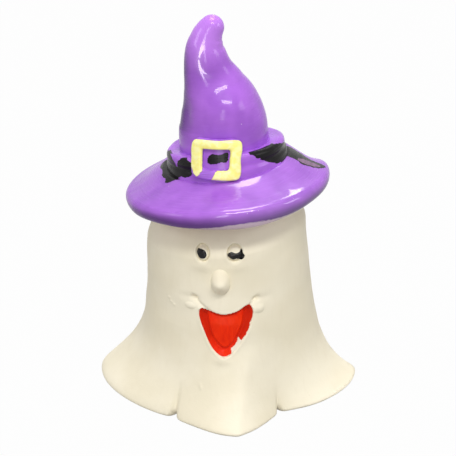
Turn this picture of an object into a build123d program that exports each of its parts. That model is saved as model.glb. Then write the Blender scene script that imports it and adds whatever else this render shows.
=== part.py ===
from build123d import *
import math
import os

# Ceramic ghost figure in a witch's hat, in millimetres, +Z up, face towards -Y.
# The origin lies on the table under the middle of the figure.
# Angles round the figure are degrees from the front, positive towards +X.

# Draped body, a hollow shell that stands on its hem
WALL = 4.0
HEM_REACH = 30.2            # hem radius away from the corners and folds
HEM_LIP = 1.1               # rounding under the hem
FRONT_CORNER = 4.75         # extra reach of the cloth's front and back corners
FRONT_CORNER_ANGLE = 1.8
FRONT_CORNER_SPREAD = 17.4
CORNER_BACK_SPREAD = 10.5   # width of a side corner towards the back
WAIST_RADIUS = 22.0         # plain column above the skirt
WAIST_HEIGHT = 24.0
SHOULDER_RADIUS = 21.0      # top of the column, where the head rounds over
SHOULDER_HEIGHT = 45.0
SEAT_RADIUS = 12.5          # flat on top of the head that carries the hat
SEAT_HEIGHT = 57.0
DOME_POWER = 1.45           # fullness of the rounding from shoulder to seat
HEAD_DRIFT = -0.5           # the head stands a little to one side of the column
LEFT_SKIRT_HEIGHT = 9.6     # height over which the skirt's flare dies out
LEFT_SKIRT_POWER = 1.47
RIGHT_SKIRT_HEIGHT = 9.4
RIGHT_SKIRT_POWER = 0.95
KEEL_RISE = 0.6             # soft ridge from the chin down to the front corner
KEEL_ANGLE = 9.5
KEEL_SPREAD = 9.0
KEEL_HEIGHT = 11.0
KEEL_LENGTH = 6.0
VENT_RADIUS = 2.5           # firing vent from the body's hollow into the hat
HOLLOW_ROOF = 9.0           # clay left between the body's hollow and the seat

# Side corners of the cloth: angle, extra reach, how sharply the front side comes to the point
SIDE_CORNERS = ((-92.0, 5.5, 5.0), (86.0, 5.6, 8.5))
# Soft folds between the corners: middle angle, depth at the hem, angular spread
FOLDS = ((31.8, 2.65, 15.0), (-32.0, 0.3, 10.0), (149.0, 2.5, 13.0), (-149.0, 2.5, 13.0))
# Tooled nicks where a fold meets the hem
NICK_ANGLES = (30.5, -29.5, 150.0, -150.0)
NICK_RADIUS = 1.0
NICK_HEIGHT = 7.5

# Eyes, each a clay pellet in an oval socket with a painted pupil
LEFT_EYE_ANGLE = -16.2
LEFT_EYE_HEIGHT = 46.7
LEFT_EYE_HALF_WIDTH = 1.3
RIGHT_EYE_ANGLE = 5.9
RIGHT_EYE_HEIGHT = 46.2
RIGHT_EYE_HALF_WIDTH = 1.55
EYE_HALF_HEIGHT = 1.7
SOCKET_MARGIN = 0.35
SOCKET_DEPTH = 0.9
PUPIL_COAT = 0.25
PUPIL_HALF_HEIGHT = 1.1
PUPIL_DROP = 0.45

# Nose and cheeks, pellets pressed on the face
NOSE_ANGLE = -4.1
NOSE_HEIGHT = 39.0
NOSE_HALF_WIDTH = 2.4
NOSE_HALF_HEIGHT = 3.7
NOSE_SINK = 0.2
NOSE_TILT = 28.0            # its lower end stands out of the face
LEFT_CHEEK_ANGLE = -26.5
LEFT_CHEEK_HEIGHT = 31.5
RIGHT_CHEEK_ANGLE = 21.2
RIGHT_CHEEK_HEIGHT = 30.4
CHEEK_HALF_WIDTH = 1.7
CHEEK_HALF_HEIGHT = 1.3
CHEEK_SINK = 0.9

# Mouth, an open recess with a lining and a raised tongue, and the smile line above it
MOUTH_MIDDLE = -0.6
MOUTH_HALF_WIDTH = 6.8
MOUTH_TOP = 30.7
MOUTH_SLOPE = 0.7           # one corner higher and the other lower by this much
MOUTH_SAG = 1.6             # dip of the upper lip between the corners
MOUTH_DROP = 12.5           # from the corners down to the chin
MOUTH_CHIN_SHIFT = -1.2
MOUTH_CHIN_HALF_WIDTH = 2.0
MOUTH_SIDE_BULGE = 0.9
MOUTH_DEPTH = 1.9
LINING_THICKNESS = 0.5
TONGUE_THICKNESS = 0.8
TONGUE_MARGIN = 1.7
INLAY_GAP = 0.05            # slip joint round an inlaid piece
SMILE_HALF_WIDTH = 8.7
SMILE_RISE = 5.3
SMILE_BOTTOM = 29.0
SMILE_GROOVE = 0.9
SMILE_DEPTH = 0.6

# Hat: brim, crown, band and buckle, all square to a tilted axis
HAT_TILT = 7.5
HAT_SHIFT = 0.4
BRIM_RADIUS = 26.9
BRIM_EDGE = 3.6             # thickness of the rolled edge
BRIM_DROOP = 0.55           # underside of the rolled edge below the seat
BRIM_DISH = 0.9             # hollowing of the underside inside the edge
BRIM_WAVES = ((1, 0.47, 0.40), (2, 0.32, -0.68))   # waves round the edge, lift in front, lift beside
BRIM_SAG = 4.5              # drooping stretch of the edge behind
BRIM_SAG_ANGLE = 130.0
BRIM_SAG_SPREAD = 33.0
BRIM_PUSH_LEFT = 0.5        # the edge lies off the hat's axis by this much
BRIM_PUSH_FRONT = 0.35
BRIM_BORE = 7.0
LAND_HEIGHT = 6.8           # flat land on the brim that carries crown and band
LAND_MARGIN = 1.0
SEAT_MARGIN = 0.6
CROWN_RADIUS = 11.6
CROWN_HEIGHT = 29.3         # from the top of the band to the middle of the tip
CROWN_TAPER_POWER = 1.5
CROWN_SWAYS = ((0.17, 0.6), (0.5, -0.5), (0.75, -1.4), (1.0, 1.2))   # share of the height, place sideways
CROWN_WALL = 3.0
TIP_RADIUS = 3.2
BAND_RADIUS = 15.6
BAND_HEIGHT = 6.0
BAND_TAPER = 0.15           # leaning in per millimetre of height
BAND_ROUND = 1.2
BAND_GAP = 0.1              # slip joint between band and crown
BUCKLE_ANGLE = -7.3
BUCKLE_TURN = -7.5          # turned back upright on the tilted hat
BUCKLE_WIDTH = 12.6
BUCKLE_HEIGHT = 9.6
BUCKLE_BAR = 2.6
BUCKLE_RELIEF = 1.5         # how far the buckle stands out of the band
BUCKLE_TAPER = 0.28
BUCKLE_FOOT = 0.9           # lower edge above the brim, at the middle
BUCKLE_ROUND = 1.4
PAD_MARGIN = 0.9            # the band's pad behind the buckle ends inside the frame by this much

SECTION_POINTS = 60         # points in one closed section of the cloth
BRIM_POINTS = 36            # points in one ring of the brim
SKIRT_CROWDING = 1.5        # sections of the skirt lie closer together near the hem
PAST = 1.0                  # how far a cutter runs past what it cuts


def smooth_step(value, low, high):
    """0 below low, 1 above high and an S-curve between."""
    share = min(max((value - low) / (high - low), 0.0), 1.0)
    return share * share * (3.0 - 2.0 * share)


def turn_from(angle, middle):
    """Angle from a middle angle, the shorter way round."""
    return (angle - middle + 180.0) % 360.0 - 180.0


def bell(away, spread):
    """A bell curve, 1 where away is nothing."""
    return math.exp(-((away / spread) ** 2))


def column_radius(height):
    """The body without its skirt: a tapering column, then a dome up to the hat's seat."""
    if height <= SHOULDER_HEIGHT:
        share = max((height - WAIST_HEIGHT) / (SHOULDER_HEIGHT - WAIST_HEIGHT), 0.0)
        return WAIST_RADIUS + (SHOULDER_RADIUS - WAIST_RADIUS) * share
    share = min((height - SHOULDER_HEIGHT) / (SEAT_HEIGHT - SHOULDER_HEIGHT), 1.0)
    fall = 1.0 - (SEAT_RADIUS / SHOULDER_RADIUS) ** DOME_POWER
    return SHOULDER_RADIUS * (1.0 - fall * share**DOME_POWER) ** (1.0 / DOME_POWER)


def hem_radius(angle):
    """Plan of the hem: the four corners of a draped cloth with folds between them."""
    reach = HEM_REACH
    for middle, size, power in SIDE_CORNERS:
        away = turn_from(angle, middle)
        point = max(math.cos(math.radians(away)), 0.0) ** power
        reach += size * (point if away * middle < 0.0 else bell(away, CORNER_BACK_SPREAD))
    for middle in (FRONT_CORNER_ANGLE, 180.0):
        reach += FRONT_CORNER * bell(turn_from(angle, middle), FRONT_CORNER_SPREAD)
    for middle, depth, spread in FOLDS:
        reach -= depth * bell(turn_from(angle, middle), spread)
    return reach


def cloth_radius(angle, height):
    """Radius of the body's outside: the column, a skirt that flares out to the hem, and the keel in front."""
    right = 0.5 + 0.5 * math.sin(math.radians(angle))
    rise = LEFT_SKIRT_HEIGHT + (RIGHT_SKIRT_HEIGHT - LEFT_SKIRT_HEIGHT) * right
    power = LEFT_SKIRT_POWER + (RIGHT_SKIRT_POWER - LEFT_SKIRT_POWER) * right
    flare = math.exp(-((max(height - HEM_LIP, 0.0) / rise) ** power))
    keel = bell(turn_from(angle, KEEL_ANGLE), KEEL_SPREAD) * bell(height - KEEL_HEIGHT, KEEL_LENGTH)
    return column_radius(height) + (hem_radius(angle) - WAIST_RADIUS) * flare + KEEL_RISE * keel


def lip_inset(height):
    """Rounding under the hem, deepest at the table."""
    share = min(max(1.0 - height / HEM_LIP, 0.0), 1.0)
    return HEM_LIP * share * share


def cloth_point(angle, height, inset=0.0):
    """A point of the body; above the waist the sections lean over to the hat's tilt."""
    radius = cloth_radius(angle, height) - inset
    lean = smooth_step(height, WAIST_HEIGHT, SHOULDER_HEIGHT)
    x = radius * math.sin(math.radians(angle)) + lean * HEAD_DRIFT
    y = -radius * math.cos(math.radians(angle))
    return Vector(x, y, height + lean * math.tan(math.radians(HAT_TILT)) * x)


def cloth_section(height, inset, drop=0.0):
    """One closed section of the body from the back round, moved inwards by inset and down by drop."""
    shares = [i / SECTION_POINTS for i in range(SECTION_POINTS + 1)]
    points = [cloth_point(180.0 + 360.0 * share, height, inset) for share in shares[:-1]]
    lowered = [point - Vector(0, 0, drop) for point in points]
    return make_face(Edge.make_spline(lowered, periodic=True, parameters=shares))


def heights_between(low, high, steps, crowding=1.0):
    """Heights above low up to high, crowded towards low."""
    return [low + (high - low) * (i / steps) ** crowding for i in range(1, steps + 1)]


def cloth_form(inset=0.0):
    """The whole outside of the body as a solid form, moved inwards by inset."""
    heights = [0.0, 0.4 * HEM_LIP, HEM_LIP]
    heights += heights_between(HEM_LIP, WAIST_HEIGHT, 8, SKIRT_CROWDING)
    heights += heights_between(WAIST_HEIGHT, SHOULDER_HEIGHT, 4)
    heights += heights_between(SHOULDER_HEIGHT, SEAT_HEIGHT, 6)
    return loft([cloth_section(height, inset + lip_inset(height)) for height in heights], ruled=True)


def cloth_hollow():
    """The space inside the body: open under the hem, closed below the seat."""
    top = SEAT_HEIGHT - HOLLOW_ROOF
    heights = [HEM_LIP] + heights_between(HEM_LIP, WAIST_HEIGHT, 4, SKIRT_CROWDING)
    heights += heights_between(WAIST_HEIGHT, top, 3)
    mouth = cloth_section(HEM_LIP, WALL, drop=HEM_LIP + PAST)
    return loft([mouth] + [cloth_section(height, WALL) for height in heights], ruled=True)


def face_plane(angle, height, sink):
    """Plane on the body's outside, +Z outwards and +Y up the face, sunk in by sink."""
    here = cloth_point(angle, height)
    across = cloth_point(angle + 1.0, height) - cloth_point(angle - 1.0, height)
    upwards = cloth_point(angle, height + 0.5) - cloth_point(angle, height - 0.5)
    outwards = across.cross(upwards).normalized()
    return Plane(origin=here - outwards * sink, x_dir=across, z_dir=outwards)


def pellet(half_width, half_height):
    """A ball of clay drawn out upwards, as deep as it is wide."""
    return scale(Sphere(1), by=(half_width, half_height, half_width))


def mouth_blank(margin):
    """Front outline of the mouth, shrunk by margin, pushed forward through the face."""
    half = MOUTH_HALF_WIDTH - margin
    left = (MOUTH_MIDDLE - half, MOUTH_TOP - MOUTH_SLOPE - margin)
    right = (MOUTH_MIDDLE + half, MOUTH_TOP + MOUTH_SLOPE - margin)
    dip = (MOUTH_MIDDLE, MOUTH_TOP - MOUTH_SAG - margin)
    chin = MOUTH_TOP - MOUTH_DROP + margin
    chin_middle = MOUTH_MIDDLE + MOUTH_CHIN_SHIFT
    chin_half = MOUTH_CHIN_HALF_WIDTH * half / MOUTH_HALF_WIDTH
    chin_left = (chin_middle - chin_half, chin + 0.5 * chin_half)
    chin_right = (chin_middle + chin_half, chin + 0.5 * chin_half)
    bulge = MOUTH_SIDE_BULGE
    left_side = (0.5 * (left[0] + chin_left[0]) - bulge, 0.5 * (left[1] + chin_left[1]))
    right_side = (0.5 * (right[0] + chin_right[0]) + bulge, 0.5 * (right[1] + chin_right[1]))
    outline = ThreePointArc(left, dip, right)
    outline += ThreePointArc(right, right_side, chin_right)
    outline += ThreePointArc(chin_right, (chin_middle, chin), chin_left)
    outline += ThreePointArc(chin_left, left_side, left)
    return extrude(Plane.XZ * make_face(outline), amount=WAIST_RADIUS + HEM_REACH)


def ring(points):
    """A closed outline of radius and height pairs turned about the hat's axis."""
    return revolve(Plane.XZ * make_face(Polyline(points, close=True)), Axis.Z)


os.makedirs("parts", exist_ok=True)
nodes = {}
standing = (Align.CENTER, Align.CENTER, Align.MIN)

# Body: draped form, hollowed, vented, nicked at the hem
form = cloth_form()
hat_tangent = math.tan(math.radians(HAT_TILT))
hat_plane = Plane(
    origin=(HAT_SHIFT, 0, SEAT_HEIGHT + hat_tangent * HAT_SHIFT),
    x_dir=(1, 0, hat_tangent),
    z_dir=(-hat_tangent, 0, 1),
)
vent = hat_plane * Pos(0, 0, -HOLLOW_ROOF) * Cylinder(VENT_RADIUS, 3 * HOLLOW_ROOF)
body = form - cloth_hollow() - vent
for angle in NICK_ANGLES:
    foot = cloth_point(angle, HEM_LIP)
    rise = cloth_point(angle, NICK_HEIGHT) - foot
    nick = Cone(1.5 * NICK_RADIUS, 0.1 * NICK_RADIUS, 1.5 * rise.length, align=standing)
    body -= Plane(origin=foot - rise * 0.5, z_dir=rise) * nick

# Eyes: oval sockets, pellets on the socket floors, a coat of paint on each for the pupil
eyes = {
    "left": (LEFT_EYE_ANGLE, LEFT_EYE_HEIGHT, LEFT_EYE_HALF_WIDTH),
    "right": (RIGHT_EYE_ANGLE, RIGHT_EYE_HEIGHT, RIGHT_EYE_HALF_WIDTH),
}
for side, (angle, height, half_width) in eyes.items():
    floor = face_plane(angle, height, SOCKET_DEPTH)
    socket = Ellipse(half_width + SOCKET_MARGIN, EYE_HALF_HEIGHT + SOCKET_MARGIN)
    body -= floor * extrude(socket, amount=SOCKET_DEPTH + PAST)
    front = Box(*[4 * EYE_HALF_HEIGHT] * 3, align=standing)
    ball = pellet(half_width, EYE_HALF_HEIGHT) & front
    coat = pellet(half_width + PUPIL_COAT, EYE_HALF_HEIGHT + PUPIL_COAT) - pellet(half_width, EYE_HALF_HEIGHT)
    dab = Pos(0, -PUPIL_DROP) * Ellipse(0.75 * half_width, PUPIL_HALF_HEIGHT)
    nodes[side + "_eye"] = floor * ball
    nodes[side + "_pupil"] = floor * (coat & extrude(dab, amount=4 * EYE_HALF_HEIGHT))

# Mouth and smile line, sunk square to the face
mouth_floor = cloth_form(MOUTH_DEPTH)
body -= mouth_blank(0.0) - mouth_floor
smile_end = SMILE_BOTTOM + SMILE_RISE
smile = ThreePointArc(
    (MOUTH_MIDDLE - SMILE_HALF_WIDTH, smile_end),
    (MOUTH_MIDDLE, SMILE_BOTTOM),
    (MOUTH_MIDDLE + SMILE_HALF_WIDTH, smile_end),
)
groove = extrude(Plane.XZ * SlotArc(smile, SMILE_GROOVE), amount=WAIST_RADIUS + HEM_REACH)
body -= groove - cloth_form(SMILE_DEPTH)
nodes["ghost_body"] = body

lining_face = cloth_form(MOUTH_DEPTH - LINING_THICKNESS)
tongue_face = cloth_form(MOUTH_DEPTH - LINING_THICKNESS - TONGUE_THICKNESS)
nodes["mouth_lining"] = (mouth_blank(INLAY_GAP) & lining_face) - mouth_floor
nodes["tongue"] = (mouth_blank(TONGUE_MARGIN) & tongue_face) - lining_face

# Nose and cheeks, each pressed on until it fits the face
nose_place = face_plane(NOSE_ANGLE, NOSE_HEIGHT, NOSE_SINK)
nodes["nose"] = nose_place * Rot(-NOSE_TILT, 0, 0) * pellet(NOSE_HALF_WIDTH, NOSE_HALF_HEIGHT) - form
cheeks = {
    "left": (LEFT_CHEEK_ANGLE, LEFT_CHEEK_HEIGHT),
    "right": (RIGHT_CHEEK_ANGLE, RIGHT_CHEEK_HEIGHT),
}
for side, (angle, height) in cheeks.items():
    place = face_plane(angle, height, CHEEK_SINK)
    nodes[side + "_cheek"] = place * pellet(CHEEK_HALF_WIDTH, CHEEK_HALF_HEIGHT) - form

# Brim: flat seat, dished underside, waving rolled edge and slope up to the land, lofted ring by ring
seat_flat = SEAT_RADIUS + abs(HAT_SHIFT - HEAD_DRIFT) + SEAT_MARGIN
land_radius = BAND_RADIUS + LAND_MARGIN
edge_half = 0.5 * BRIM_EDGE
edge_start = BRIM_RADIUS - edge_half
edge_middle = edge_half - BRIM_DROOP


def brim_lift(angle):
    """Rise of the brim's edge round the hat: slow waves and one drooping stretch."""
    lift = -BRIM_SAG * bell(turn_from(angle, BRIM_SAG_ANGLE), BRIM_SAG_SPREAD)
    for times, front, beside in BRIM_WAVES:
        turn = math.radians(times * angle)
        lift += front * math.cos(turn) + beside * math.sin(turn)
    return lift


def brim_ring(radius, height):
    """Closed line round the hat that follows the edge's waves more the nearer it lies to the edge."""
    follow = smooth_step(radius, land_radius, edge_start)
    shares = [i / BRIM_POINTS for i in range(BRIM_POINTS + 1)]
    points = []
    for share in shares[:-1]:
        angle = 180.0 + 360.0 * share
        x = radius * math.sin(math.radians(angle)) - follow * BRIM_PUSH_LEFT
        y = -radius * math.cos(math.radians(angle)) - follow * BRIM_PUSH_FRONT
        points.append((x, y, height + follow * brim_lift(angle)))
    return Wire([Edge.make_spline(points, periodic=True, parameters=shares)])


rings = [brim_ring(seat_flat, 0.0), brim_ring(0.5 * (seat_flat + edge_start), BRIM_DISH)]
for degrees in (-90, -60, -30, 0, 30, 60, 80):
    turn = math.radians(degrees)
    rim = (edge_start + edge_half * math.cos(turn), edge_middle + edge_half * math.sin(turn))
    rings.append(brim_ring(*rim))
for share in (0.3, 0.6, 0.8, 1.0):
    rings.append(brim_ring(rim[0] + share * (land_radius - rim[0]), rim[1] + share * (LAND_HEIGHT - rim[1])))
brim = Solid.make_loft(rings, ruled=True) - Cylinder(BRIM_BORE, 3 * LAND_HEIGHT)

# Crown: straight foot inside the band, then a cone along a bent spine that ends in a round tip
band_top = LAND_HEIGHT + BAND_HEIGHT
swayed = [(sway, 0, band_top + share * CROWN_HEIGHT) for share, sway in CROWN_SWAYS]
spine = Spline((0, 0, band_top), *swayed, tangents=[(0, 0, 1), (1, 0, 1)])


def crown_section(share, wall):
    """Round section of the crown at a share of its spine."""
    radius = TIP_RADIUS + (CROWN_RADIUS - TIP_RADIUS) * math.cos(0.5 * math.pi * share) ** CROWN_TAPER_POWER
    return Plane(origin=spine @ share, z_dir=spine % share) * Circle(radius - wall)


foot = Pos(0, 0, LAND_HEIGHT) * Cylinder(CROWN_RADIUS, BAND_HEIGHT, align=standing)
cone = loft([crown_section(share, 0.0) for share in (0.0, 0.15, 0.3, 0.45, 0.6, 0.75, 0.88, 1.0)])
tip = Pos(*(spine @ 1.0)) * Sphere(TIP_RADIUS)
bore = Pos(0, 0, LAND_HEIGHT) * Cylinder(CROWN_RADIUS - CROWN_WALL, BAND_HEIGHT, align=standing)
inside = loft([crown_section(share, CROWN_WALL) for share in (0.0, 0.2, 0.4, 0.55)])
crown = foot + cone + tip - bore - inside

# Band: a tapered ring round the crown's foot with a rounded upper edge and a pad behind the buckle
band_inner = CROWN_RADIUS + BAND_GAP
band_upper = BAND_RADIUS - BAND_TAPER * BAND_HEIGHT
band_foot = [(band_inner, LAND_HEIGHT), (BAND_RADIUS, LAND_HEIGHT)]
band = ring(band_foot + [(band_upper, band_top), (band_inner, band_top)])
band = fillet(band.edges().group_by(Axis.Z)[-1].sort_by(SortBy.RADIUS)[-1], BAND_ROUND)

# Buckle: an upright open frame bent round the front of the band, its back shaped by band, pad and crown
buckle_middle = LAND_HEIGHT + BUCKLE_FOOT + 0.5 * BUCKLE_HEIGHT
corner_drop = 0.5 * BUCKLE_WIDTH * abs(math.sin(math.radians(BUCKLE_TURN)))
shell_high = buckle_middle + 0.5 * BUCKLE_HEIGHT + corner_drop


def front_cone(relief):
    """Solid cone that leans with the buckle, standing out of the band's foot by relief."""
    low = BAND_RADIUS + relief
    high = low - BUCKLE_TAPER * (shell_high - LAND_HEIGHT)
    return ring([(0, LAND_HEIGHT), (low, LAND_HEIGHT), (high, shell_high), (0, shell_high)])


def front_prism(sketch):
    """A flat shape turned upright at the buckle's place and pushed forward from the hat's axis."""
    upright = Plane.XZ * Pos(0, buckle_middle) * Rot(0, 0, BUCKLE_TURN) * sketch
    return Rot(0, 0, BUCKLE_ANGLE) * extrude(upright, amount=2 * BAND_RADIUS)


pad_width = BUCKLE_WIDTH - 2 * PAD_MARGIN
pad_height = BUCKLE_HEIGHT - 2 * PAD_MARGIN
pad = front_cone(0.0) & front_prism(Rectangle(pad_width, pad_height))
band += pad - foot - cone
frame = RectangleRounded(BUCKLE_WIDTH, BUCKLE_HEIGHT, BUCKLE_ROUND)
frame -= Rectangle(BUCKLE_WIDTH - 2 * BUCKLE_BAR, BUCKLE_HEIGHT - 2 * BUCKLE_BAR)
buckle = (front_cone(BUCKLE_RELIEF) & front_prism(frame)) - band - foot - cone

nodes["hat_brim"] = hat_plane * brim
nodes["hat_crown"] = hat_plane * crown
nodes["hat_band"] = hat_plane * band
nodes["hat_buckle"] = hat_plane * buckle

for name, solid in nodes.items():
    solid.label = name
    export_step(solid, "parts/" + name + ".step")
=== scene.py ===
import bpy
import numpy as np
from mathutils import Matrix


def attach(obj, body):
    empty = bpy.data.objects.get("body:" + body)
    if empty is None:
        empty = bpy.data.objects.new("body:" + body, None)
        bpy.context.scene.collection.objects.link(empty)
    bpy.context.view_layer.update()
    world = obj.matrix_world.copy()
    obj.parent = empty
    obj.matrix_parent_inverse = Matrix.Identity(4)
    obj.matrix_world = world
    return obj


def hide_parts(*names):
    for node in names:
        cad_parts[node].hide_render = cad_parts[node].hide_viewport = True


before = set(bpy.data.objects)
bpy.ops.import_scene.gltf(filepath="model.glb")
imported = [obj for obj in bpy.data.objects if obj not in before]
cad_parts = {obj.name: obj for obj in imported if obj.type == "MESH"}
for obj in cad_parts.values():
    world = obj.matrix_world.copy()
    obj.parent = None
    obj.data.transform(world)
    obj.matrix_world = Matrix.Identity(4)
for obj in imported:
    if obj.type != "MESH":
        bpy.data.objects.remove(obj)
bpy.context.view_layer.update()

# Ghost body: a hollow bell of slip-cast earthenware, open below, with four cloth corners, nicked folds
# between them and a flat seat on top. Poured in a plaster mould, fretted with a tool, fired and sealed white.
MM = 0.001
WALL = 4.0
HEM_REACH, HEM_LIP, HEM_SHRINK = 30.2, 1.1, 0.1
SIDE_CORNERS = ((-92.0, 5.5, 5.0), (86.0, 5.6, 8.5))
CORNER_BACK_SPREAD = 10.5
FRONT_CORNER, FRONT_CORNER_ANGLE, FRONT_CORNER_SPREAD = 4.75, 1.8, 17.4
WAIST_RADIUS, WAIST_HEIGHT = 22.0, 24.0
SHOULDER_RADIUS, SHOULDER_HEIGHT = 21.0, 45.0
SEAT_RADIUS, SEAT_HEIGHT, DOME_POWER = 12.5, 57.0, 1.45
HEAD_DRIFT = -0.5
SKIRT_HEIGHTS, SKIRT_POWERS = (9.6, 9.4), (1.47, 0.95)
VENT_RADIUS, CEILING_HEIGHT = 2.5, 48.0
FOLDS = ((31.8, 2.65, 15.0), (-32.0, 0.3, 10.0), (149.0, 2.5, 13.0), (-149.0, 2.5, 13.0))
NICKS = ((30.5, 7.5), (-29.5, 10.5), (150.0, 8.0), (-150.0, 8.0))
NICK_DEPTH, NICK_VALLEY, NICK_FOOT = 1.5, 0.5, 1.2
KEEL_RISE, KEEL_SPREAD, KEEL_FOOT, KEEL_LEAN, KEEL_ROUND = 0.75, 3.6, 2.6, 0.16, 0.5
CORNER_CUT, CORNER_SPREAD = 0.9, 3.0
UNEVEN = ((0.10, 3.0, 0.21, 0.0, 0.17, 1.3), (0.06, 7.0, -0.33, 0.8, 0.41, 0.0))
HAT_TILT, HAT_SHIFT = 7.5, 0.4
EYES = (("left", (-6.4, 45.9), (1.65, 2.05)), ("right", (1.75, 46.3), (1.9, 2.1)))
SOCKET_DEPTH, SOCKET_RIM, BAG_SWELL, BAG_DROP = 0.9, 0.07, 0.3, 3.6
SMILE_MIDDLE, SMILE_HALF_WIDTH, SMILE_RISE, SMILE_BOTTOM = -0.7, 8.8, 5.3, 29.0
GROOVE_DEPTH, GROOVE_GAIN, SMILE_END = 0.2, 0.5, 0.9
SMILE_END_BELLS = ((0.7, 0.0, 0.0, 1.0, 0.75), (0.18, 2.0, 0.0, 1.8, 0.9), (-0.15, 0.9, -2.6, 2.4, 1.6))
MOUTH_DEPTH, LIP_RIM, CHIN_RIM = 1.9, 0.03, 0.1
CHIN, CHIN_SWELL = (-1.2, 17.0), 0.5
CRUMBS = ((-15.3, 31.2), (-14.7, 30.3), (-14.0, 29.7), (-7.2, 10.1), (-7.1, 9.5))
CRUMB_RISE, CRUMB_SIZE = 0.16, 0.35
MOUTH_OUTLINE = (
    (-7.1, 30.5), (-4.6, 30.0), (-1.3, 29.4), (2.2, 30.2), (5.1, 31.9), (6.5, 30.0),
    (5.8, 26.2), (4.1, 22.6), (1.2, 18.9), (-1.6, 17.9), (-4.3, 20.2), (-6.2, 24.3), (-7.5, 28.2),
)


def smooth(value, low, high):
    """Share of the way from low to high, eased at both ends: t squared times (3 minus 2 t)."""
    t = np.clip((value - low) / (high - low), 0.0, 1.0)
    return t * t * (3.0 - 2.0 * t)


def away_from(angle, middle):
    """Angle from a middle in degrees, wrapped to the nearest way round."""
    return (angle - middle + 180.0) % 360.0 - 180.0


def bell(away, spread):
    """A bell curve: e to the minus square of distance over spread."""
    return np.exp(-((away / spread) ** 2))


def column_radius(height):
    """Body without its skirt: a straight taper to the shoulder, then a superellipse in to the seat."""
    taper = np.interp(height, (WAIST_HEIGHT, SHOULDER_HEIGHT), (WAIST_RADIUS, SHOULDER_RADIUS))
    share = np.clip((height - SHOULDER_HEIGHT) / (SEAT_HEIGHT - SHOULDER_HEIGHT), 0.0, 1.0)
    fall = 1.0 - (SEAT_RADIUS / SHOULDER_RADIUS) ** DOME_POWER
    return taper * (1.0 - fall * share**DOME_POWER) ** (1.0 / DOME_POWER)


def hem_radius(angle):
    """Plan of the hem: reach, plus for each side corner a power of cosine on its front side and a bell behind,
    plus a bell at front and back, minus a bell for each fold."""
    reach = HEM_REACH
    for middle, size, power in SIDE_CORNERS:
        away = away_from(angle, middle)
        forwards = np.clip(np.cos(np.radians(away)), 0.0, 1.0) ** power
        reach = reach + size * np.where(away * middle < 0.0, forwards, bell(away, CORNER_BACK_SPREAD))
    for middle in (FRONT_CORNER_ANGLE, 180.0):
        reach = reach + FRONT_CORNER * bell(away_from(angle, middle), FRONT_CORNER_SPREAD)
    for middle, depth, spread in FOLDS:
        reach = reach - depth * bell(away_from(angle, middle), spread)
    return reach


def cloth_radius(angle, height):
    """Outside of the body: the column plus the hem's reach, which dies out upwards as a stretched exponential
    whose rise and power change from the left side to the right."""
    right = 0.5 + 0.5 * np.sin(np.radians(angle))
    rise, power = (np.interp(right, (0.0, 1.0), ends) for ends in (SKIRT_HEIGHTS, SKIRT_POWERS))
    flare = np.exp(-((np.maximum(height - HEM_LIP, 0.0) / rise) ** power))
    return column_radius(height) + (hem_radius(angle) - WAIST_RADIUS) * flare


def cloth_point(angle, height, inset):
    """Point of the body at an angle from the front and a height, moved inwards: polar to plain coordinates,
    with the sections leaning to the hat's tilt above the waist."""
    angle, height, inset = np.broadcast_arrays(angle, height, inset)
    radius = cloth_radius(angle, height) - inset
    lean = smooth(height, WAIST_HEIGHT, SHOULDER_HEIGHT)
    x = radius * np.sin(np.radians(angle)) + lean * HEAD_DRIFT
    y = -radius * np.cos(np.radians(angle))
    return np.stack([x, y, height + lean * np.tan(np.radians(HAT_TILT)) * x], axis=-1)


def cubic(before, start, end, after, t):
    """Smooth span at share t of the way from start to end: the cubic whose end slopes are half the chord between
    the neighbours."""
    return 0.5 * (
        2.0 * start
        + (end - before) * t
        + (2.0 * before - 5.0 * start + 4.0 * end - after) * t**2
        + (3.0 * start - before - 3.0 * end + after) * t**3
    )


def closed_curve(points, count):
    """Smooth closed line through points, a cubic for each span."""
    knots = np.asarray(points, float)
    at = np.linspace(0.0, len(knots), count, endpoint=False)
    span = at.astype(int)
    return cubic(*(knots[(span + step) % len(knots)] for step in (-1, 0, 1, 2)), (at - span)[:, None])


def signed_gap(u, v, outline):
    """Distance to a closed outline, positive inside: the least distance to any of its straight sides,
    with the sign from how many sides a line to the right crosses."""
    spot = np.stack([u, v], axis=-1)[..., None, :]
    start, end = np.asarray(outline), np.roll(outline, -1, axis=0)
    along = end - start
    share = np.clip(((spot - start) * along).sum(-1) / (along**2).sum(-1), 0.0, 1.0)
    gap = np.sqrt((((spot - start) - share[..., None] * along) ** 2).sum(-1)).min(-1)
    spans = (start[:, 1] > spot[..., 1]) != (end[:, 1] > spot[..., 1])
    climb = np.where(along[:, 1] == 0.0, 1.0, along[:, 1])
    crossing = start[:, 0] + (spot[..., 1] - start[:, 1]) / climb * along[:, 0]
    inside = (spans & (crossing > spot[..., 0])).sum(-1) % 2 == 1
    return np.where(inside, gap, -gap)


def oval_gap(x, z, middle, half):
    """Distance to an oval's edge, positive inside: one minus the scaled radius, times the mean half axis."""
    radius = np.hypot((x - middle[0]) / half[0], (z - middle[1]) / half[1])
    return (1.0 - radius) * 0.5 * (half[0] + half[1])


mouth_edge = closed_curve(MOUTH_OUTLINE, 91)


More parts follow.
